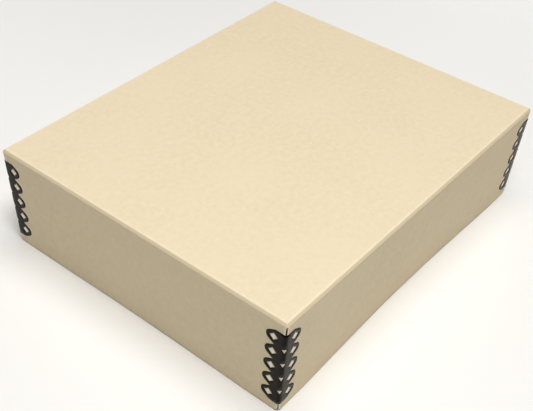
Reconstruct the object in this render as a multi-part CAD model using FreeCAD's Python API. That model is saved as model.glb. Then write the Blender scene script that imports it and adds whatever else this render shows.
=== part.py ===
import FreeCAD, Part
import math
import os

# Archival storage box of folded board: a tray and a full-depth lid that drops over it.
# Each is one scored sheet, folded up and held at its four corners by metal edges.
# Millimetres. Origin on the table under the middle of the box, +X long side, +Z up.

# Board and folds
board = 1.5              # thickness of the board
fold = 1.65              # inset of the flat facet along a scored fold
fold_band = 2.4          # depth of the folded rim, below which a wall's ends are free
corner_radius = 2.2      # how far the free wall ends are drawn round at a corner
seam = 0.8               # open slit between two walls
wall_tip_radius = 2.2    # rounding of a wall's tip beside the slit
stiff_end = 20.0         # stretch of wall that a metal edge keeps straight

# Lid, outside
lid_length = 292.1
lid_width = 241.3
lid_lean = (2.0, 2.6)    # how far the end walls and the side walls lean in at the open edge
lid_bow = (0.7, 2.6)     # further bow of the end walls and side walls, halfway along
lid_floor_gap = 0.6      # lid's open edge above the table

# Tray
depth_inside = 76.2
tray_gap = (1.1, 3.0)    # room for the tray inside the lid's open edge, ends and sides
tray_bow = (0.3, 1.0)
rest_gap = 0.2           # between the tray's rim and the lid

# Metal edges
metal = 0.3              # thickness of the sheet metal
pitch = 12.7             # from one lobe to the next
lobes = 5
lobe_radius = 4.4
lobe_reach = 9.8         # middle of a lobe, from the corner
notch_reach = 7.8        # bottom of the notch between two lobes, from the corner
hole_reach = 8.6         # middle of a square hole, from the corner
hole_half_diagonal = 2.65
edge_start = 8.9         # metal edge's first end, from the panel's outer face

X_AXIS = FreeCAD.Vector(1, 0, 0)
Y_AXIS = FreeCAD.Vector(0, 1, 0)
Z_AXIS = FreeCAD.Vector(0, 0, 1)
CUT_MARGIN = 5.0         # how far a cutting solid runs past what it cuts

edge_length = lobes * pitch
tray_depth = depth_inside + board
tray_length = lid_length - 2 * (board + lid_lean[0] + tray_gap[0])
tray_width = lid_width - 2 * (board + lid_lean[1] + tray_gap[1])
lid_top = tray_depth + rest_gap + board
lid_depth = lid_top - lid_floor_gap


def turned(shape, axis, degrees):
    copy = shape.copy()
    copy.rotate(FreeCAD.Vector(0, 0, 0), axis, degrees)
    return copy


def outline(half_x, half_y, bow, radius, z):
    """Closed wire round the walls at height z: each side is straight, bowed in, straight."""
    edges = []
    sides = [(half_x, half_y, bow[1]), (half_y, half_x, bow[0])] * 2
    for quarter, (along, out, sag) in enumerate(sides):
        start, bend = -along + radius, along - stiff_end
        # these five poles make a quartic that is deepest, by the sag, halfway along
        poles = [(-bend, 0), (-bend / 2, sag / 2), (0, sag * 2), (bend / 2, sag / 2), (bend, 0)]
        bowed = Part.BezierCurve()
        bowed.setPoles([FreeCAD.Vector(u, v - out, z) for u, v in poles])
        run = [
            Part.makeLine((start, -out, z), (-bend, -out, z)),
            bowed.toShape(),
            Part.makeLine((bend, -out, z), (-start, -out, z)),
        ]
        if radius:
            middle = radius * math.sqrt(0.5)
            centre = FreeCAD.Vector(along - radius, radius - out, z)
            points = [(0, -radius), (middle, -middle), (radius, 0)]
            run.append(Part.Arc(*[centre + FreeCAD.Vector(u, v, 0) for u, v in points]).toShape())
        edges += [turned(edge, Z_AXIS, 90 * quarter) for edge in run]
    return Part.Wire(edges)


def corner_frames(length, width, depth, lean):
    """Placements that carry a corner piece, drawn at the origin, onto the four corners."""
    frames = []
    for quarter, (side_x, side_y) in enumerate([(-1, -1), (1, -1), (1, 1), (-1, 1)]):
        tip = FreeCAD.Rotation(X_AXIS, math.degrees(side_y * math.asin(lean[1] / depth)))
        tilt = FreeCAD.Rotation(Y_AXIS, -math.degrees(side_x * math.asin(lean[0] / depth)))
        turn = FreeCAD.Rotation(Z_AXIS, 90 * quarter)
        corner = FreeCAD.Vector(side_x * length / 2, side_y * width / 2, 0)
        frames.append(FreeCAD.Placement(corner, tip * tilt * turn))
    return frames


def corner_slit(depth):
    """What is cut away at a corner: the slit between two walls, and their rounded tips."""
    reach = 3 * corner_radius
    slit = Part.makeBox(seam, 2 * reach, depth + CUT_MARGIN - fold_band)
    slit.translate(FreeCAD.Vector(-seam / 2, -reach, fold_band))
    half = wall_tip_radius * math.sqrt(0.5)
    bulge = 1 - math.sqrt(0.5)

    def tip_arc(side):
        points = [(0, wall_tip_radius), (half * bulge, wall_tip_radius * bulge), (half, 0)]
        return Part.Arc(*[FreeCAD.Vector(side * u, -reach, depth - v) for u, v in points]).toShape()

    corners = [(half, 0), (half, CUT_MARGIN), (-half, CUT_MARGIN), (-half, 0)]
    border = Part.makePolygon([FreeCAD.Vector(u, -reach, depth + v) for u, v in corners])
    tips = Part.Face(Part.Wire([tip_arc(1), *border.Edges, tip_arc(-1)]))
    cutter = slit.fuse(tips.extrude(FreeCAD.Vector(0, 2 * reach, 0)))
    return turned(cutter, Z_AXIS, -45)


def folded_sheet(length, width, depth, lean, bow):
    """A scored sheet folded into an open box, its panel at z = 0 and its walls upward."""

    def ring(inset, radius, z):
        rise = z / depth
        half_x = length / 2 - inset - lean[0] * rise
        half_y = width / 2 - inset - lean[1] * rise
        sag = (bow[0] * rise, bow[1] * rise)
        return outline(half_x, half_y, sag, radius, z)

    def between(lower, upper):
        return Part.makeLoft([lower, upper], True, True)

    facets = between(ring(fold, 0, 0), ring(0, 0, fold))
    rim = between(ring(0, 0, fold), ring(0, 0, fold_band))
    walls = between(ring(0, corner_radius, fold_band), ring(0, corner_radius, depth))
    inner_radius = corner_radius - board
    hollow_rim = between(ring(board, 0, board), ring(board, 0, fold_band))
    hollow = between(
        ring(board, inner_radius, fold_band), ring(board, inner_radius, depth + CUT_MARGIN)
    )
    sheet = facets.fuse([rim, walls]).cut(hollow_rim.fuse(hollow))
    slit = corner_slit(depth)
    for frame in corner_frames(length, width, depth, lean):
        cutter = slit.copy()
        cutter.Placement = frame
        sheet = sheet.cut(cutter)
    return sheet.removeSplitter()


def leg_outline():
    """Flat outline of one leg, from the bend out to the lobes, in the plane y = 0."""
    to_notch = FreeCAD.Vector(notch_reach - lobe_reach, 0, pitch / 2)
    opening = math.acos(lobe_radius / to_notch.Length)
    angle = math.atan2(to_notch.z, to_notch.x) - opening
    touch_x, touch_z = lobe_radius * math.cos(angle), lobe_radius * math.sin(angle)
    edges = []
    last = FreeCAD.Vector(corner_radius, 0, 0)
    for lobe in range(lobes):
        centre = FreeCAD.Vector(lobe_reach, 0, (lobe + 0.5) * pitch)
        below = centre + FreeCAD.Vector(to_notch.x, 0, -to_notch.z)
        first = centre + FreeCAD.Vector(touch_x, 0, -touch_z)
        tip = centre + FreeCAD.Vector(lobe_radius, 0, 0)
        second = centre + FreeCAD.Vector(touch_x, 0, touch_z)
        if lobe == 0:
            edges.append(Part.makeLine(last, below))
        edges.append(Part.makeLine(below, first))
        edges.append(Part.Arc(first, tip, second).toShape())
        last = centre + to_notch
        edges.append(Part.makeLine(second, last))
    end = FreeCAD.Vector(corner_radius, 0, edge_length)
    edges.append(Part.makeLine(last, end))
    edges.append(Part.makeLine(end, FreeCAD.Vector(corner_radius, 0, 0)))
    return Part.Wire(edges)


def square_hole(centre_x, half_x, half_z, z, start, end):
    """A prism on its corner, along +Y from start to end."""
    corners = [(half_x, 0), (0, half_z), (-half_x, 0), (0, -half_z), (half_x, 0)]
    points = [FreeCAD.Vector(centre_x + u, start, z + v) for u, v in corners]
    return Part.Face(Part.makePolygon(points)).extrude(FreeCAD.Vector(0, end - start, 0))


def clinched_teeth(z):
    """The four triangular teeth folded back along the sides of one square hole."""
    teeth = []
    side = hole_half_diagonal * math.sqrt(2)
    for quarter in range(4):
        base = [(-side / 2, 0), (side / 2, 0), (0, side / 2), (-side / 2, 0)]
        points = [FreeCAD.Vector(u, v, side / 2) for u, v in base]
        tooth = Part.Face(Part.makePolygon(points)).extrude(FreeCAD.Vector(0, 0, metal))
        tooth = turned(tooth, Y_AXIS, 45 + 90 * quarter)
        tooth.translate(FreeCAD.Vector(hole_reach, 0, z))
        teeth.append(tooth)
    return teeth


def metal_edge():
    """Scalloped sheet-metal angle, its corner line on the Z axis and its legs on +X and +Y."""
    leg = Part.Face(leg_outline()).extrude(FreeCAD.Vector(0, -metal, 0))
    middles = [(lobe + 0.5) * pitch for lobe in range(lobes)]
    holes = [
        square_hole(hole_reach, hole_half_diagonal, hole_half_diagonal, z, -CUT_MARGIN, CUT_MARGIN)
        for z in middles
    ]
    leg = leg.cut(Part.makeCompound(holes))
    leg = leg.fuse([tooth for z in middles for tooth in clinched_teeth(z)])
    other_leg = leg.mirror(FreeCAD.Vector(0, 0, 0), FreeCAD.Vector(1, -1, 0))

    bend = Part.makeCylinder(corner_radius + metal, edge_length, FreeCAD.Vector(0, 0, 0), Z_AXIS, 90)
    bend = bend.cut(Part.makeCylinder(corner_radius, edge_length))
    bend = turned(bend, Z_AXIS, 180)
    bend.translate(FreeCAD.Vector(corner_radius, corner_radius, 0))
    for gap in range(1, lobes):
        narrow = hole_half_diagonal * math.sqrt(0.5)
        hole = square_hole(0, narrow, hole_half_diagonal, gap * pitch, -CUT_MARGIN, CUT_MARGIN)
        bend = bend.cut(turned(hole, Z_AXIS, -45))
    return leg.fuse([other_leg, bend]).removeSplitter()


def corner_name(shape):
    middle = shape.BoundBox.Center
    return ("front" if middle.y < 0 else "back") + ("_left" if middle.x < 0 else "_right")


def export(shape, node):
    solids = shape.Solids
    if len(solids) != 1 or not shape.isValid():
        raise ValueError(f"{node}: {len(solids)} solids, valid {shape.isValid()}")
    solids[0].exportStep(f"parts/{node}.step")
    box = solids[0].BoundBox
    print(f"{node:24s} {box.XLength:7.2f} {box.YLength:7.2f} {box.ZLength:7.2f}")


def box_half(length, width, depth, lean, bow):
    """One folded sheet, open side up, and its four metal edges."""
    edges = []
    for frame in corner_frames(length, width, depth, lean):
        edge = metal_edge()
        edge.Placement = frame.multiply(FreeCAD.Placement(Z_AXIS * edge_start, FreeCAD.Rotation()))
        edges.append(edge)
    return folded_sheet(length, width, depth, lean, bow), edges


def upside_down(shape):
    copy = turned(shape, Y_AXIS, 180)
    copy.translate(Z_AXIS * lid_top)
    return copy


os.makedirs("parts", exist_ok=True)
tray_board, tray_edges = box_half(tray_length, tray_width, tray_depth, (0, 0), tray_bow)
lid_board, lid_edges = box_half(lid_length, lid_width, lid_depth, lid_lean, lid_bow)
export(tray_board, "tray_board")
export(upside_down(lid_board), "lid_board")
for edge in tray_edges:
    export(edge, "tray_edge_" + corner_name(edge))
for edge in map(upside_down, lid_edges):
    export(edge, "lid_edge_" + corner_name(edge))
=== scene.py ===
"""Looks of the archival box: two halves of folded board with black metal edges, in metres."""

import math

import bmesh
import bpy
from mathutils import Euler, Matrix, Vector, noise


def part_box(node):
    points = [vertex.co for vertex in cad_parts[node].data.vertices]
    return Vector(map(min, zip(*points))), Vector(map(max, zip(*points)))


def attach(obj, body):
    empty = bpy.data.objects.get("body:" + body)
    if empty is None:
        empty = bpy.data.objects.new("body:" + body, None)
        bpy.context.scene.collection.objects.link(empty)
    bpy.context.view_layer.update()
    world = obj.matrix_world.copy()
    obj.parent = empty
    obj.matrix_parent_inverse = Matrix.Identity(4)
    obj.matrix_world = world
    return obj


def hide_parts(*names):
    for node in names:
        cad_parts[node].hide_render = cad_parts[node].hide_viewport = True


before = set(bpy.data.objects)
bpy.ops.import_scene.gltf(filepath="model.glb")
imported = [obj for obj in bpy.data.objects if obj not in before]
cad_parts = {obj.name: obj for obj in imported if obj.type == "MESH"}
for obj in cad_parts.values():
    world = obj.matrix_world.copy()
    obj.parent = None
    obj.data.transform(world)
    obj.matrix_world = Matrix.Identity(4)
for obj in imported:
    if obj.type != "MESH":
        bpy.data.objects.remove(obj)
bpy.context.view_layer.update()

QUARTER = math.pi / 2

# Board and folds
BOARD = 0.0015
FOLD = 0.00165                  # inset of the flat facet along a fold
FOLD_BAND = 0.0019              # depth of the folded rim, below which a wall's ends are free
UPPER_CREASE = 0.00054          # how far the rounding of a facet's upper crease reaches
BORDER = 0.0042                 # inset of the panel's plain middle
BORDER_ROW = 0.7 * BORDER       # inset of the next row towards the fold
FOLD_SHADING_AND_WEAR = (0, 0.1, 0.8, 0.6, -0.6, -1.0, -0.7, 0.3, 0.1)   # by row: above 0 a painted highlight with some rubbed wear, below 0 painted shade on the facet
CORNER_RADIUS = 0.0019          # rounding of the free wall ends at a corner
WORN_CORNERS = (0.0015, 0.0008, 0.0014, 0.0015)   # rounding of the fold at each corner
CORNER_EASE = 0.006             # depth over which one radius becomes the other
LIGHTENED_END = 0.0014             # stretch beside a corner painted lighter: rubbed wear and painted light
# how much lighter the paper is painted there: rubbed wear, and painted light on board that the metal
# edge shades
END_WEAR_AND_LIGHT = 1.7
SLIT = 0.00042                  # half the open slit between two walls
SLIT_EASE = 0.0006
SLIT_DRAWN = 0.93               # how far a metal edge draws the slit together
DRAWN_EASE = 0.003              # stretch over which it does so, about its ends
DRAWN_AT_END = 0.4              # place within that stretch where the metal ends
TIP_RADIUS = 0.0020             # rounding of a wall's tip beside the slit
BLUNT_TIP = 0.08 * TIP_RADIUS
STIFF_END = 0.020               # stretch of wall that a metal edge keeps straight
CUT_EDGE_BEVEL = 0.00012
CUT_EDGE_ANGLE = math.radians(60)

# How far the walls that face X, then Y, lean in at the open edge and bow between the metal edges
LEAN = {"lid": (0.0020, 0.0026), "tray": (0.0, 0.0)}
BOW = {"lid": (0.0007, 0.0026), "tray": (0.0003, 0.0010)}

# Unevenness of the board
PANEL_SAG = 0.00030             # how far a panel's middle lies in from its border
WALL_WAVE = 0.00025             # unevenness of a wall between the metal edges
WALL_WAVE_EASE = 0.02           # depth over which it sets in
WAVES_ALONG = 14                # noise scales, per metre
WAVES_DOWN = 18
WAVES_ACROSS = 9
SAG_LEAST = 0.6                 # share of the sag that is even
SAG_UNEVEN = 0.8
WALL_SEED = 7.3                 # places in the noise for each wall, half, layer and depth of half
HALF_SEED = {"lid": 3, "tray": 4}
LAYER_SEED = 900
DEPTH_SEED = 50
BOW_POWER = 1.5

# Metal edges
METAL = 0.0003
PITCH = 0.0127
LOBES = 5
EDGE_LENGTH = LOBES * PITCH
EDGE_START = 0.0089             # metal edge's first end, from the panel's outer face
LOBE_RADIUS = 0.0044
LOBE_REACH = 0.0098             # middle of a lobe, from the corner
NOTCH_REACH = 0.0078            # bottom of the notch between two lobes
HOLE_REACH = 0.0086             # middle of a square hole
HOLE_HALF = 0.00265             # half its diagonal
ROLL = 0.00025                  # how far the metal's free border is rounded off
ROLL_WIDTH = 0.0007
BEND_RADIUS = CORNER_RADIUS + METAL
BEND_REACH = 0.0034             # where the cells of the bend end on a leg, from the corner
BEND_HOLE_HALF_WIDTH = 0.0022   # of a hole on the bend, measured round it
BEND_HOLE_HALF_HEIGHT = 0.0032
PAD = 0.00024                   # how far the board swells into a lobe's hole
PAD_GAP = 0.0001                # between the swelling and the hole's corners
PAD_RINGS = ((1.0, -0.00025), (0.86, 0.00006), (0.6, PAD * 0.8), (0.3, PAD))   # share, rise
PAD_POINTS = (4, 4, 4, 4)

# Mesh steps
END_STEPS = (0, 0.0004, 0.0008, 0.0012, 0.0016, 0.0021, 0.0027, 0.0035, 0.005, 0.008, 0.012, 0.0165)
MIDDLE_STEP = 0.007
BELOW_FOLD = (0.0003, 0.0007, 0.0012, 0.002, 0.003, 0.0045, 0.006)
ROW_STEP = 0.0055
TIP_SHARES = (0.2, 0.4, 0.6, 0.8, 0.92, 1.0)
ARC_STEPS = 6                   # on half a lobe's round end
FLANK_STEPS = 5                 # from there to the notch
NOTCH_STEPS = 2                 # from the notch to the bend
HALF_CELL_STEPS = 3
BEND_STEPS = 6
LOBE_POINTS = (10, 6, 6, 10)    # on each side of a lobe's hole
BEND_POINTS = (7, 7, 7, 7)
ROLL_STEPS = ((0.0, 1.0), (0.55, 0.12), (1.0, 0.0))   # share of the way in, share of ROLL
WIDEST_ROLL = 0.5               # share of the way in that the roll may take
PLAIN_STEP = 0.25               # share of the way in where the border isn't free
CELL_MIDDLE = 0.55              # place of the ring between the rolled border and the dish
DISH_STEPS = ((0.0, 0.1), (0.5, 0.45), (1.0, 1.0))    # share of the way in, share of the dish
TOOTH_STEPS = (0.5, 1.0)
TOOTH_SIDE = 0.06               # a tooth's depth at its sides, as a share of that at its middle
TOOTH_NARROWING = 0.3           # of a tooth that lies across the hole
MERGE = 2e-6

# Material slots of a board piece
PAPER, CUT_EDGE, PRESSED = 0, 1, 2


def smooth_step(x):
    x = min(max(x, 0.0), 1.0)
    return x * x * (3 - 2 * x)


def unevenness(x, y, z):
    """Smooth noise about 0.5 and never below 0."""
    return max(0.0, 0.5 + noise.noise(Vector((x, y, z))))


def between(start, end, count):
    """count points from start towards end, without end."""
    start, end = Vector(start), Vector(end)
    return [start.lerp(end, i / count) for i in range(count)]


def diamond(centre, half_u, half_z, counts):
    """Points round a square standing on its corner, and how far each is from a corner, 0 to 1."""
    corners = [(half_u, 0), (0, half_z), (-half_u, 0), (0, -half_z), (half_u, 0)]
    ring = []
    for start, end, count in zip(corners, corners[1:], counts):
        for i, point in enumerate(between(start, end, count)):
            ring.append((Vector((centre, 0)) + point, 1 - abs(2 * i / count - 1)))
    return ring


def join_rings(mesh, rings):
    """The faces between closed rings of vertices."""
    faces = []
    for near, far in zip(rings, rings[1:]):
        for i in range(len(near)):
            j = (i + 1) % len(near)
            faces.append(mesh.faces.new((near[i], near[j], far[j], far[i])))
    return faces


def join_rows(mesh, rows, material=PAPER):
    """The faces between open rows of vertices."""
    for above, below in zip(rows, rows[1:]):
        for a, b, c, d in zip(above, above[1:], below[1:], below):
            mesh.faces.new((a, b, c, d)).material_index = material


def leg_point(u, z, depth):
    """A point of the metal edge's leg on +X: u from the corner, depth below the metal's face."""
    return Vector((u, depth - METAL, z))


def other_leg_point(u, z, depth):
    return Vector((depth - METAL, u, z))


# ---------------------------------------------------------------- folded board

def open_share(depth):
    """How open the slit between two walls is: a metal edge draws it together."""
    inside = min(depth - EDGE_START, EDGE_START + EDGE_LENGTH - depth)
    return 1 - SLIT_DRAWN * smooth_step(inside / DRAWN_EASE + DRAWN_AT_END)


class Sheet:
    """A scored sheet folded into an open box: its panel at z = 0, its walls upward."""

    def __init__(self, half):
        low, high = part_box(half + "_board")
        self.half = half
        self.depth = high.z - low.z
        self.top = high.z
        self.lean = LEAN[half]
        self.bow = BOW[half]
        at_fold = FOLD / self.depth
        self.half_x = (high.x - low.x) / 2 + self.lean[0] * at_fold
        self.half_y = (high.y - low.y) / 2 + self.lean[1] * at_fold

    def sides(self, wall, depth):
        """Half the wall's length, its distance from the middle, and its bow, at a depth."""
        rise = depth / self.depth
        half_x = self.half_x - self.lean[0] * rise
        half_y = self.half_y - self.lean[1] * rise
        if wall % 2:
            return half_y, half_x, self.bow[0] * rise
        return half_x, half_y, self.bow[1] * rise

    def columns(self, wall):
        """(side, distance from the wall's end, 0) at its ends, (0, 0, share) along its middle."""
        half_length = self.sides(wall, 0)[0]
        count = max(2, round(2 * (half_length - STIFF_END) / MIDDLE_STEP))
        ends = [(-1, distance, 0.0) for distance in END_STEPS]
        middle = [(0, 0.0, 2 * i / count - 1) for i in range(count + 1)]
        return ends + middle + [(1, distance, 0.0) for distance in END_STEPS[::-1]]

    def wall_point(self, wall, column, depth, inset=0.0, z=None):
        """A point of a wall, at a column, a depth from the panel and an inset from the outside."""
        side, distance, share = column
        if side:
            u, v = self.end_point(wall, side, distance, depth, inset)
        else:
            u, v = self.middle_point(wall, share, depth, inset)
        if z is None:
            z = self.tip_depth(depth, distance) if side else depth
        return Matrix.Rotation(QUARTER * wall, 3, "Z") @ Vector((u, v, z))

    def end_point(self, wall, side, distance, depth, inset):
        """Where a wall's end lies in plan: it is drawn round the corner, as far as the slit."""
        along, out, _ = self.sides(wall, depth)
        along, out = along - inset, out - inset
        free = depth - FOLD_BAND
        worn = WORN_CORNERS[(wall + (side > 0)) % 4]
        drawn = worn + (CORNER_RADIUS - worn) * smooth_step(free / CORNER_EASE)
        radius = max(drawn - inset, 0.0)
        path = SLIT * smooth_step(free / SLIT_EASE) * open_share(depth) + distance
        arc = radius * math.pi / 4
        if path >= arc:
            return side * (along - radius - (path - arc)), -out
        turn = math.pi / 4 - path / radius
        u = side * (along - radius + radius * math.sin(turn))
        return u, -(out - radius) - radius * math.cos(turn)

    def middle_point(self, wall, share, depth, inset):
        """Where the middle of a wall lies in plan: it is bowed, and a little uneven."""
        along, out, bow = self.sides(wall, depth)
        u = share * (along - inset - STIFF_END)
        curve = (1 - share * share) ** BOW_POWER
        seed = WALL_SEED * wall + HALF_SEED[self.half]
        uneven = WALL_WAVE * unevenness(u * WAVES_ALONG, depth * WAVES_DOWN, seed)
        uneven *= smooth_step((depth - FOLD_BAND) / WALL_WAVE_EASE)
        return u, -(out - inset) + curve * (bow + uneven)

    def tip_depth(self, depth, distance):
        """Depth of a point, less beside the slit, where the wall's tip is rounded."""
        start = self.depth - TIP_RADIUS
        if depth <= start or distance >= TIP_RADIUS:
            return depth
        across = TIP_RADIUS - distance
        end = max(math.sqrt(TIP_RADIUS ** 2 - across ** 2), BLUNT_TIP)
        return start + (depth - start) * end / TIP_RADIUS

    def panel_z(self, x, y, z):
        """Height of a point of the panel, which sags unevenly towards its middle."""
        over_x, over_y = x / (self.half_x - BORDER), y / (self.half_y - BORDER)
        sag = PANEL_SAG * (1 - over_x ** 2) * (1 - over_y ** 2)
        seed = z * LAYER_SEED + self.depth * DEPTH_SEED
        uneven = unevenness(x * WAVES_ACROSS, y * WAVES_ACROSS, seed)
        return z + sag * (SAG_LEAST + SAG_UNEVEN * uneven)


def crease(corner, before, after, reach):
    """Three points that round a corner of a profile, over a reach on each side."""
    corner, before, after = Vector(corner), Vector(before), Vector(after)
    first = corner + (before - corner).normalized() * reach
    last = corner + (after - corner).normalized() * reach
    return [first, corner * 0.5 + (first + last) * 0.25, last]


def fold_profile(layer):
    """(inset, z) of the rows from the panel's border over the fold to the folded rim."""
    if layer:
        inner = crease((BOARD, BOARD), (BORDER, BOARD), (BOARD, BORDER), FOLD_BAND - BOARD)
        return [(BORDER, BOARD), (BORDER_ROW, BOARD), *inner]
    upper = crease((FOLD, 0), (BORDER, 0), (0, FOLD), UPPER_CREASE)
    lower = crease((0, FOLD), (FOLD, 0), (0, BORDER), FOLD_BAND - FOLD)
    middle = (FOLD / 2, FOLD / 2)
    return [(BORDER, 0), (BORDER_ROW, 0), *upper, middle, *lower]


def free_rows(depth):
    """Depths of the rows from the folded rim to the open edge."""
    near = [FOLD_BAND + step for step in BELOW_FOLD]
    end = depth - TIP_RADIUS
    count = round((end - near[-1]) / ROW_STEP)
    middle = [near[-1] + (end - near[-1]) * i / count for i in range(1, count + 1)]
    return near + middle + [end + TIP_RADIUS * share for share in TIP_SHARES]


def add_vertex(mesh, point, wear_and_shading=0.0):
    made = mesh.verts.new(point)
    # the layer holds painted highlight and painted shade for the paper, with its rubbed wear
    made[mesh.verts.layers.float["fold_wear_and_painted_light"]] = wear_and_shading
    return made


def fold_rows(mesh, sheet, layer, wall):
    """Rows of vertices from the panel's border over the fold."""
    rows = []
    for index, (inset, z) in enumerate(fold_profile(layer)):
        depth = z if index else 0.0
        # outer layer: painted highlight along the creases, painted shade on the facet
        wear_and_shading = 0.0 if layer else FOLD_SHADING_AND_WEAR[index]
        row = []
        for column in sheet.columns(wall):
            point = sheet.wall_point(wall, column, depth, inset, z)
            if index == 0:
                point.z = sheet.panel_z(point.x, point.y, z)
            row.append(add_vertex(mesh, point, wear_and_shading))
        rows.append(row)
    return rows


def wall_rows(mesh, sheet, layer, wall):
    """Rows of vertices from the fold to the open edge."""
    rows = []
    for depth in free_rows(sheet.depth):
        row = []
        for column in sheet.columns(wall):
            side, distance, _ = column
            # paper beside a corner is painted lighter: rubbed wear and painted light
            worn_and_lit = layer == 0 and side and distance < LIGHTENED_END
            point = sheet.wall_point(wall, column, depth, BOARD * layer)
            row.append(add_vertex(mesh, point, END_WEAR_AND_LIGHT if worn_and_lit else 0.0))
        rows.append(row)
    return rows


def add_panel(mesh, sheet, layer):
    inset, z = fold_profile(layer)[0]
    lines = []
    for wall in (0, 1):
        points = [sheet.wall_point(wall, column, 0, inset, z) for column in sheet.columns(wall)]
        lines.append([point[wall] for point in points])
    rows = [[add_vertex(mesh, (x, y, sheet.panel_z(x, y, z))) for x in lines[0]] for y in lines[1]]
    join_rows(mesh, rows)


def add_wall(mesh, sheet, layer, wall):
    """One face of a wall, with its fold. Returns the vertices along its free border."""
    fold = fold_rows(mesh, sheet, layer, wall)
    below = wall_rows(mesh, sheet, layer, wall)
    join_rows(mesh, fold + below)
    free = [fold[-1]] + below
    return [row[0] for row in free] + free[-1][1:-1] + [row[-1] for row in free[::-1]]


def sheet_mesh(sheet):
    """Closed mesh of a folded sheet: its outer face, its inner face and the cut edge between."""
    mesh = bmesh.new()
    # per-vertex layer of painted highlight and painted shade on the paper, with its rubbed wear
    mesh.verts.layers.float.new("fold_wear_and_painted_light")
    borders = []
    for layer in (0, 1):
        add_panel(mesh, sheet, layer)
        borders.append([add_wall(mesh, sheet, layer, wall) for wall in range(4)])
    for outer, inner in zip(*borders):
        join_rows(mesh, [outer, inner], CUT_EDGE)
    bmesh.ops.remove_doubles(mesh, verts=mesh.verts, dist=MERGE)
    bmesh.ops.recalc_face_normals(mesh, faces=mesh.faces)
    if mesh.calc_volume(signed=True) < 0:
        bmesh.ops.reverse_faces(mesh, faces=mesh.faces)
    return mesh


def add_pad(mesh, matrix, leg, height):
    """A closed dome where the board swells into one hole of a metal edge."""
    rings = []
    for share, rise in PAD_RINGS:
        reach = (HOLE_HALF - PAD_GAP) * share
        ring = diamond(HOLE_REACH, reach, reach, PAD_POINTS)
        rings.append([
            mesh.verts.new(matrix @ leg(point.x, point.y + height, METAL - rise))
            for point, _ in ring
        ])
    faces = join_rings(mesh, rings)
    faces += [mesh.faces.new(rings[-1]), mesh.faces.new(rings[0][::-1])]
    for face in faces:
        face.material_index = PRESSED
    bmesh.ops.recalc_face_normals(mesh, faces=faces)


def add_pads(mesh, frames):
    for matrix in frames:
        for leg in (leg_point, other_leg_point):
            for lobe in range(LOBES):
                add_pad(mesh, matrix, leg, EDGE_START + (lobe + 0.5) * PITCH)


def turn_over(sheet):
    """The matrix that puts a half in place: the lid is a tray upside down."""
    if sheet.half == "tray":
        return Matrix.Identity(4)
    return Matrix.Translation((0, 0, sheet.top)) @ Matrix.Rotation(math.pi, 4, "Y")


def corner_frames(sheet):
    """Matrices that carry a corner piece, drawn at the origin, onto the four corners."""
    frames = []
    for quarter, (side_x, side_y) in enumerate([(-1, -1), (1, -1), (1, 1), (-1, 1)]):
        tip = Matrix.Rotation(side_y * math.asin(sheet.lean[1] / sheet.depth), 4, "X")
        tilt = Matrix.Rotation(-side_x * math.asin(sheet.lean[0] / sheet.depth), 4, "Y")
        turn = Matrix.Rotation(QUARTER * quarter, 4, "Z")
        corner = Vector((side_x * sheet.half_x, side_y * sheet.half_y, 0))
        frames.append(turn_over(sheet) @ Matrix.Translation(corner) @ tip @ tilt @ turn)
    return frames


def corner_name(matrix):
    middle = matrix @ Vector((0, 0, EDGE_LENGTH / 2))
    return ("front" if middle.y < 0 else "back") + ("_left" if middle.x < 0 else "_right")


# ---------------------------------------------------------------- metal edges

class Hole:
    """A square hole punched in the metal and clinched inward."""

    def __init__(self, centre, half_u, half_z, edge, dish, dish_width, tooth, closed):
        self.centre = centre          # across the leg, or round the bend
        self.half_u = half_u
        self.half_z = half_z
        self.edge = edge              # radius of the bend into a tooth
        self.dish = dish              # how far the metal is pressed in round the hole
        self.dish_width = dish_width
        self.tooth = tooth            # depth of a tooth
        self.closed = closed          # how far the teeth nearer the panel lie across the hole

    def ring(self, spread, counts):
        grow = 1 + spread * math.sqrt(2) / self.half_z
        return diamond(self.centre, self.half_u * grow, self.half_z * grow, counts)

    def tooth_point(self, place, middle, share):
        """A point of the teeth at a share of their depth, as (u, along, depth)."""
        start = self.dish + self.edge
        if self.closed and place.y < 0:
            across = self.closed * share
            narrow = (place.x - self.centre) * (1 - across * TOOTH_NARROWING)
            return self.centre + narrow, place.y * (1 - across), start
        pointed = TOOTH_SIDE + (1 - TOOTH_SIDE) * middle
        reach = pointed * (self.tooth - self.edge) * share
        return place.x, place.y, start + reach


LOBE_HOLE = Hole(
    centre=HOLE_REACH, half_u=HOLE_HALF, half_z=HOLE_HALF,
    edge=0.0003, dish=0.00026, dish_width=0.0005, tooth=0.0018, closed=0.0,
)
BEND_HOLE = Hole(
    centre=QUARTER / 2, half_u=BEND_HOLE_HALF_WIDTH / BEND_RADIUS, half_z=BEND_HOLE_HALF_HEIGHT,
    edge=0.00012, dish=0.00004, dish_width=0.00015, tooth=0.0009, closed=0.9,
)


def mirrored_border(upper, middle):
    """A closed outline: its upper half, the point opposite its first, and its lower half."""
    return upper + [Vector(middle)] + [Vector((point.x, -point.y)) for point in upper[:0:-1]]


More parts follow.
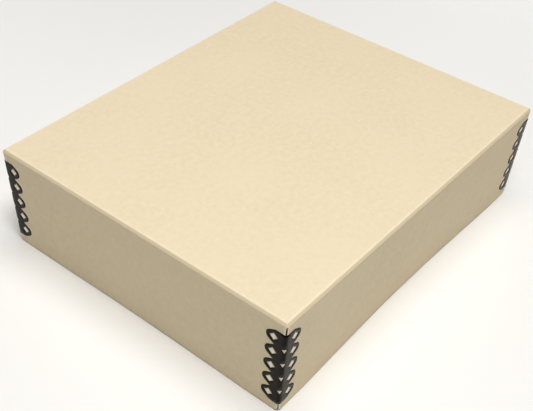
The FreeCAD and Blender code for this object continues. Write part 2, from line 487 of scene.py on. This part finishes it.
def lobe_border():
    """One lobe's cell from its tip: the outline, how free each point is, and the hole's points."""
    notch = Vector((NOTCH_REACH - LOBE_REACH, PITCH / 2))
    touch = math.atan2(notch.y, notch.x) - math.acos(LOBE_RADIUS / notch.length)
    middle = Vector((LOBE_REACH, 0))
    turns = [touch * i / ARC_STEPS for i in range(ARC_STEPS + 1)]
    arc = [middle + LOBE_RADIUS * Vector((math.cos(turn), math.sin(turn))) for turn in turns]
    foot = (BEND_REACH, PITCH / 2)
    edge = arc[:-1] + between(arc[-1], middle + notch, FLANK_STEPS)
    inside = between(middle + notch, foot, NOTCH_STEPS)
    inside += between(foot, (BEND_REACH, 0), HALF_CELL_STEPS)
    free = [1.0] * (len(edge) + 1) + [0.0] * (len(inside) - 1)
    outline = mirrored_border(edge + inside, (BEND_REACH, 0))
    return outline, free + [0.0] + free[:0:-1], LOBE_POINTS


def bend_turns():
    """Places across the bend, as turns about its centre, from one leg to the other."""
    past = (BEND_REACH - CORNER_RADIUS) / BEND_RADIUS
    return [-past, *(QUARTER * i / BEND_STEPS for i in range(BEND_STEPS + 1)), QUARTER + past]


def bend_border():
    """One cell of the bend in (turn, along), as lobe_border gives a lobe's."""
    high = PITCH / 2
    turns = bend_turns()[::-1]
    upper = between((turns[0], 0), (turns[0], high), HALF_CELL_STEPS)
    upper += [Vector((turn, high)) for turn in turns[:-1]]
    upper += between((turns[-1], high), (turns[-1], 0), HALF_CELL_STEPS)
    outline = mirrored_border(upper, (turns[-1], 0))
    return outline, [0.0] * len(outline), BEND_POINTS


def cell_rings(border, free, counts, hole):
    """Rings of (u, along, depth) from a cell's border into its hole and along the teeth."""
    rim = [point for point, _ in hole.ring(hole.edge, counts)]
    outer = [point for point, _ in hole.ring(hole.edge + hole.dish_width, counts)]
    rings = []
    for step, sunk in ROLL_STEPS:
        shoulder = []
        for near, far, rolled in zip(border, outer, free):
            roll = min(WIDEST_ROLL, ROLL_WIDTH / (far - near).length)
            shoulder.append(near.lerp(far, step * (roll if rolled else PLAIN_STEP)))
        rings.append([(*point, ROLL * rolled * sunk) for point, rolled in zip(shoulder, free)])
    rings.append([(*near.lerp(far, CELL_MIDDLE), 0.0) for near, far in zip(shoulder, outer)])
    for share, sink in DISH_STEPS:
        rings.append([(*near.lerp(far, share), hole.dish * sink) for near, far in zip(outer, rim)])
    for turn in (QUARTER / 2, QUARTER):
        down = hole.dish + hole.edge * (1 - math.cos(turn))
        level = hole.ring(hole.edge * (1 - math.sin(turn)), counts)
        rings.append([(*point, down) for point, _ in level])
    for share in TOOTH_STEPS:
        rings.append([hole.tooth_point(point, middle, share) for point, middle in hole.ring(0, counts)])
    return rings


def bend_point(turn, z, depth):
    """A point of the bend, or of the start of a leg where the turn is past the bend's end."""
    arc = min(max(turn, 0.0), QUARTER)
    past = (turn - arc) * BEND_RADIUS
    radius = BEND_RADIUS - depth
    x = CORNER_RADIUS - radius * math.sin(arc) - min(past, 0.0)
    y = CORNER_RADIUS - radius * math.cos(arc) + max(past, 0.0)
    return Vector((x, y, z))


def add_cell(mesh, rings, place, height):
    join_rings(mesh, [
        [mesh.verts.new(place(u, z + height, depth)) for u, z, depth in ring] for ring in rings
    ])


def metal_mesh():
    """The outer skin of a metal edge, its corner line on the Z axis and its legs on +X and +Y."""
    mesh = bmesh.new()
    lobe = cell_rings(*lobe_border(), LOBE_HOLE)
    for i in range(LOBES):
        add_cell(mesh, lobe, leg_point, (i + 0.5) * PITCH)
        add_cell(mesh, lobe, other_leg_point, (i + 0.5) * PITCH)
    bend = cell_rings(*bend_border(), BEND_HOLE)
    for i in range(1, LOBES):
        add_cell(mesh, bend, bend_point, i * PITCH)
    step = PITCH / 2 / HALF_CELL_STEPS
    for end in (0, (LOBES - 0.5) * PITCH):
        join_rows(mesh, [
            [mesh.verts.new(bend_point(turn, end + step * i, 0)) for turn in bend_turns()]
            for i in range(HALF_CELL_STEPS + 1)
        ])
    bmesh.ops.remove_doubles(mesh, verts=mesh.verts, dist=MERGE)
    bmesh.ops.recalc_face_normals(mesh, faces=mesh.faces)
    outermost = min(mesh.faces, key=lambda face: face.calc_center_median().y)
    if outermost.normal.y > 0:
        bmesh.ops.reverse_faces(mesh, faces=mesh.faces)
    return mesh


# ---------------------------------------------------------------- materials

PAPER_LIGHT = (0.800, 0.697, 0.510)
PAPER_DARK = (0.755, 0.648, 0.465)
# painted highlight along the creases and painted light at the wall ends, with rubbed wear
PAPER_HIGHLIGHT_AND_WEAR = (0.86, 0.77, 0.60)
# painted shade on the fold's facet
PAPER_PAINTED_SHADE = (0.66, 0.57, 0.40)
PAPER_PRESSED = (0.97, 0.94, 0.86)
FLECK = (0.45, 0.36, 0.24)
CORE = (0.66, 0.56, 0.40)
ENAMEL = (0.005, 0.0038, 0.0026)
ENAMEL_THIN = (0.010, 0.008, 0.0055)
FLOOR = (0.85, 0.838, 0.815)


def principled(name, color):
    material = bpy.data.materials.new(name)
    material.use_nodes = True
    shader = material.node_tree.nodes["Principled BSDF"]
    shader.inputs["Base Color"].default_value = (*color, 1)
    return material, material.node_tree, shader


def plug(tree, socket, value):
    """Link another socket in, or set a colour or a number."""
    if isinstance(value, bpy.types.NodeSocket):
        tree.links.new(value, socket)
    elif isinstance(value, tuple):
        socket.default_value = (*value, 1)
    else:
        socket.default_value = value


def node(tree, kind, **inputs):
    made = tree.nodes.new(kind)
    for name, value in inputs.items():
        plug(tree, made.inputs[name], value)
    return made


def own_place(tree):
    return node(tree, "ShaderNodeTexCoord").outputs["Object"]


def cloud(tree, place, scale, detail, roughness):
    settings = {"Scale": scale, "Detail": detail, "Roughness": roughness}
    return node(tree, "ShaderNodeTexNoise", Vector=place, **settings).outputs["Fac"]


def remap(tree, value, source, target):
    """Carry a value from one (low, high) range into another."""
    made = tree.nodes.new("ShaderNodeMapRange")
    tree.links.new(value, made.inputs["Value"])
    limits = ("From Min", "From Max", "To Min", "To Max")
    for name, number in zip(limits, (*source, *target)):
        made.inputs[name].default_value = number
    return made.outputs["Result"]


def multiply(tree, first, second):
    made = tree.nodes.new("ShaderNodeMath")
    made.operation = "MULTIPLY"
    plug(tree, made.inputs[0], first)
    plug(tree, made.inputs[1], second)
    return made.outputs[0]


def blend_color(tree, share, first, second):
    made = tree.nodes.new("ShaderNodeMix")
    made.data_type = "RGBA"
    plug(tree, made.inputs[0], share)
    plug(tree, made.inputs[6], first)
    plug(tree, made.inputs[7], second)
    return made.outputs[2]


def add_bump(tree, shader, height, strength, distance):
    bump = node(tree, "ShaderNodeBump", Height=height, Strength=strength, Distance=distance)
    tree.links.new(bump.outputs[0], shader.inputs["Normal"])


def board_material():
    """Mottled paper with fibres and flecks, painted lighter on the creases and wall ends (a painted
    highlight and painted light, with some rubbed wear) and painted shade on the fold's facet.
    """
    material, tree, shader = principled("board_paper", PAPER_LIGHT)
    place = own_place(tree)
    mottle = remap(tree, cloud(tree, place, scale=240, detail=5, roughness=0.7), (0.36, 0.64), (0, 1))
    patches = remap(tree, cloud(tree, place, scale=16, detail=3, roughness=0.5), (0.35, 0.7), (0, 0.6))
    fibres = cloud(tree, place, scale=900, detail=3, roughness=0.6)
    flecks = remap(tree, cloud(tree, place, scale=520, detail=2, roughness=0.4), (0.75, 0.78), (0, 0.3))
    attribute = tree.nodes.new("ShaderNodeAttribute")
    attribute.attribute_name = "fold_wear_and_painted_light"
    wear_and_shading = attribute.outputs["Fac"]
    # lighter paper: painted highlight along the creases and painted light at the wall ends, with rubbed
    # wear
    worn_and_lit = multiply(tree, wear_and_shading, remap(tree, mottle, (0, 1), (0.85, 0.45)))
    paper = blend_color(tree, mottle, PAPER_LIGHT, PAPER_DARK)
    paper = blend_color(tree, patches, paper, PAPER_LIGHT)
    paper = blend_color(tree, worn_and_lit, paper, PAPER_HIGHLIGHT_AND_WEAR)
    # painted shade on the fold's facet, where the value is below 0
    paper = blend_color(tree, multiply(tree, wear_and_shading, -1), paper, PAPER_PAINTED_SHADE)
    paper = blend_color(tree, flecks, paper, FLECK)
    tree.links.new(paper, shader.inputs["Base Color"])
    tree.links.new(remap(tree, fibres, (0.3, 0.7), (0.62, 0.78)), shader.inputs["Roughness"])
    shader.inputs["Specular IOR Level"].default_value = 0.35
    add_bump(tree, shader, fibres, strength=0.25, distance=0.00006)
    return material


def core_material():
    """The cut edge of the board: pressed plies."""
    material, tree, shader = principled("board_cut_edge", CORE)
    plies = cloud(tree, own_place(tree), scale=1400, detail=2, roughness=0.6)
    tree.links.new(blend_color(tree, plies, CORE, PAPER_LIGHT), shader.inputs["Base Color"])
    shader.inputs["Roughness"].default_value = 0.9
    shader.inputs["Specular IOR Level"].default_value = 0.2
    add_bump(tree, shader, plies, strength=0.5, distance=0.0001)
    return material


def pad_material():
    """Board pressed smooth and pale inside the holes of a metal edge."""
    material, tree, shader = principled("pressed_board", PAPER_PRESSED)
    creases = cloud(tree, own_place(tree), scale=900, detail=2, roughness=0.6)
    duller = remap(tree, creases, (0.35, 0.65), (0, 0.4))
    tree.links.new(blend_color(tree, duller, PAPER_PRESSED, PAPER_LIGHT), shader.inputs["Base Color"])
    shader.inputs["Roughness"].default_value = 0.5
    add_bump(tree, shader, creases, strength=0.3, distance=0.0001)
    return material


def enamel_material():
    """Gloss black enamel over steel, a little browner and duller where it has run thin."""
    material, tree, shader = principled("black_enamel", ENAMEL)
    place = own_place(tree)
    runs = cloud(tree, place, scale=260, detail=3, roughness=0.55)
    specks = cloud(tree, place, scale=1500, detail=2, roughness=0.5)
    thin = remap(tree, runs, (0.4, 0.7), (0, 1))
    tree.links.new(blend_color(tree, thin, ENAMEL, ENAMEL_THIN), shader.inputs["Base Color"])
    tree.links.new(remap(tree, runs, (0.3, 0.7), (0.10, 0.20)), shader.inputs["Roughness"])
    shader.inputs["IOR"].default_value = 1.40
    shader.inputs["Specular IOR Level"].default_value = 0.22
    shader.inputs["Specular Tint"].default_value = (1.0, 0.92, 0.80, 1.0)
    add_bump(tree, shader, specks, strength=0.35, distance=0.00005)
    return material


def floor_material():
    material, _, shader = principled("pale_floor", FLOOR)
    shader.inputs["Roughness"].default_value = 0.9
    shader.inputs["Specular IOR Level"].default_value = 0.2
    return material


# ---------------------------------------------------------------- pieces

def add_piece(bm, name, materials, body):
    """Turn a mesh in the making into a piece that rides on a body."""
    mesh = bpy.data.meshes.new(name)
    bm.to_mesh(mesh)
    bm.free()
    for material in materials:
        mesh.materials.append(material)
    mesh.shade_smooth()
    piece = bpy.data.objects.new(name, mesh)
    bpy.context.scene.collection.objects.link(piece)
    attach(piece, body)
    return piece


def add_board(sheet, materials):
    half = sheet.half
    folded = sheet_mesh(sheet)
    folded.transform(turn_over(sheet))
    add_pads(folded, corner_frames(sheet))
    piece = add_piece(folded, half + "_folded_board", materials, half)
    bevel = piece.modifiers.new("rounded_edges", "BEVEL")
    bevel.width = CUT_EDGE_BEVEL
    bevel.segments = 2
    bevel.limit_method = "ANGLE"
    bevel.angle_limit = CUT_EDGE_ANGLE
    bevel.use_clamp_overlap = True
    bevel.harden_normals = True
    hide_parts(half + "_board")


def add_metal_edge(sheet, matrix, material):
    half = sheet.half
    corner = corner_name(matrix)
    metal = metal_mesh()
    metal.transform(matrix @ Matrix.Translation((0, 0, EDGE_START)))
    piece = add_piece(metal, f"{half}_metal_{corner}", [material], half)
    thickness = piece.modifiers.new("thickness", "SOLIDIFY")
    thickness.thickness = METAL
    thickness.offset = -1
    thickness.use_even_offset = True
    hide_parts(f"{half}_edge_{corner}")
    return piece


board_finishes = [board_material(), core_material(), pad_material()]
enamel_finish = enamel_material()
metal_pieces = []
for sheet in (Sheet("tray"), Sheet("lid")):
    add_board(sheet, board_finishes)
    metal_pieces += [add_metal_edge(sheet, matrix, enamel_finish) for matrix in corner_frames(sheet)]


# ---------------------------------------------------------------- floor, light and camera

FLOOR_HALF = 40.0
CEILING_STRENGTH = 2.08
CEILING_ANGLE = math.radians(46)
CEILING_TILT = (math.radians(6), math.radians(2), 0)
ROOM_LIGHT = 0.15
ROOM_SEEN = 0.66                # the room as the camera sees it
NEAR_CORNER = (-0.1, -0.1, 0.05)   # towards the camera
DISPLAY_GAMMA = 0.84

CAMERA_PLACE = Vector((-0.4368, -0.3151, 0.4505))
CAMERA_AIM = Vector((-0.0767, -0.0402, 0.040))
CAMERA_ROLL = math.radians(3.19)
CAMERA_LENS = 62.68
CAMERA_SHIFT = (0.0272, 0.0835)


def add_floor():
    corners = [(x * FLOOR_HALF, y * FLOOR_HALF, 0) for x, y in ((-1, -1), (1, -1), (1, 1), (-1, 1))]
    mesh = bpy.data.meshes.new("floor")
    mesh.from_pydata(corners, [], [(0, 1, 2, 3)])
    mesh.materials.append(floor_material())
    floor = bpy.data.objects.new("floor", mesh)
    bpy.context.scene.collection.objects.link(floor)


def area_light(name, place, aim, size, power, spread=math.pi):
    light = bpy.data.lights.new(name, "AREA")
    light.shape = "DISK"
    light.size = size
    light.energy = power
    light.spread = spread
    lamp = bpy.data.objects.new(name, light)
    lamp.location = place
    lamp.rotation_euler = (Vector(aim) - Vector(place)).to_track_quat("-Z", "Y").to_euler()
    bpy.context.scene.collection.objects.link(lamp)
    return lamp


def add_ceiling():
    """A wide soft light from overhead."""
    light = bpy.data.lights.new("ceiling_panel", "SUN")
    light.energy = CEILING_STRENGTH
    light.angle = CEILING_ANGLE
    lamp = bpy.data.objects.new("ceiling_panel", light)
    lamp.rotation_euler = Euler(CEILING_TILT)
    bpy.context.scene.collection.objects.link(lamp)


def add_lamps():
    """A soft box above the box, and two weak narrow lights on the floor behind it."""
    area_light("soft_box", (-0.30, -0.30, 1.00), (0, 0, 0.05), size=0.30, power=3.75)
    weak = {"size": 0.3, "power": 0.06, "spread": math.radians(70)}
    area_light("back_light_left", (-0.15, 0.62, 0.5), (-0.12, 0.52, 0), **weak)
    area_light("back_light_right", (0.62, 0.05, 0.5), (0.55, 0.03, 0), **weak)


def add_glints():
    """Panels that light only the metal edges, for the shine along their rims."""
    metal_only = bpy.data.collections.new("metal_edges_only")
    for piece in metal_pieces:
        metal_only.objects.link(piece)
    for name, place in (("glint_left", (-0.78, 0.62, 0.42)), ("glint_right", (0.55, -0.84, 0.45))):
        lamp = area_light(name, place, NEAR_CORNER, size=0.55, power=12.0)
        lamp.light_linking.receiver_collection = metal_only


def add_room():
    world = bpy.data.worlds.new("pale_room")
    bpy.context.scene.world = world
    world.use_nodes = True
    tree = world.node_tree
    background = tree.nodes["Background"]
    background.inputs["Color"].default_value = (1, 1, 1, 1)
    seen = tree.nodes.new("ShaderNodeLightPath").outputs["Is Camera Ray"]
    tree.links.new(remap(tree, seen, (0, 1), (ROOM_LIGHT, ROOM_SEEN)), background.inputs["Strength"])


def add_camera():
    data = bpy.data.cameras.new("camera")
    data.sensor_width = 36
    data.lens = CAMERA_LENS
    data.shift_x, data.shift_y = CAMERA_SHIFT
    data.clip_start = 0.01
    camera = bpy.data.objects.new("camera", data)
    camera.location = CAMERA_PLACE
    facing = (CAMERA_AIM - CAMERA_PLACE).to_track_quat("-Z", "Y").to_matrix().to_4x4()
    camera.rotation_euler = (facing @ Matrix.Rotation(CAMERA_ROLL, 4, "Z")).to_euler()
    bpy.context.scene.collection.objects.link(camera)
    bpy.context.scene.camera = camera


add_floor()
add_ceiling()
add_lamps()
add_glints()
add_room()
add_camera()
bpy.context.scene.view_settings.view_transform = "Standard"
bpy.context.scene.view_settings.gamma = DISPLAY_GAMMA
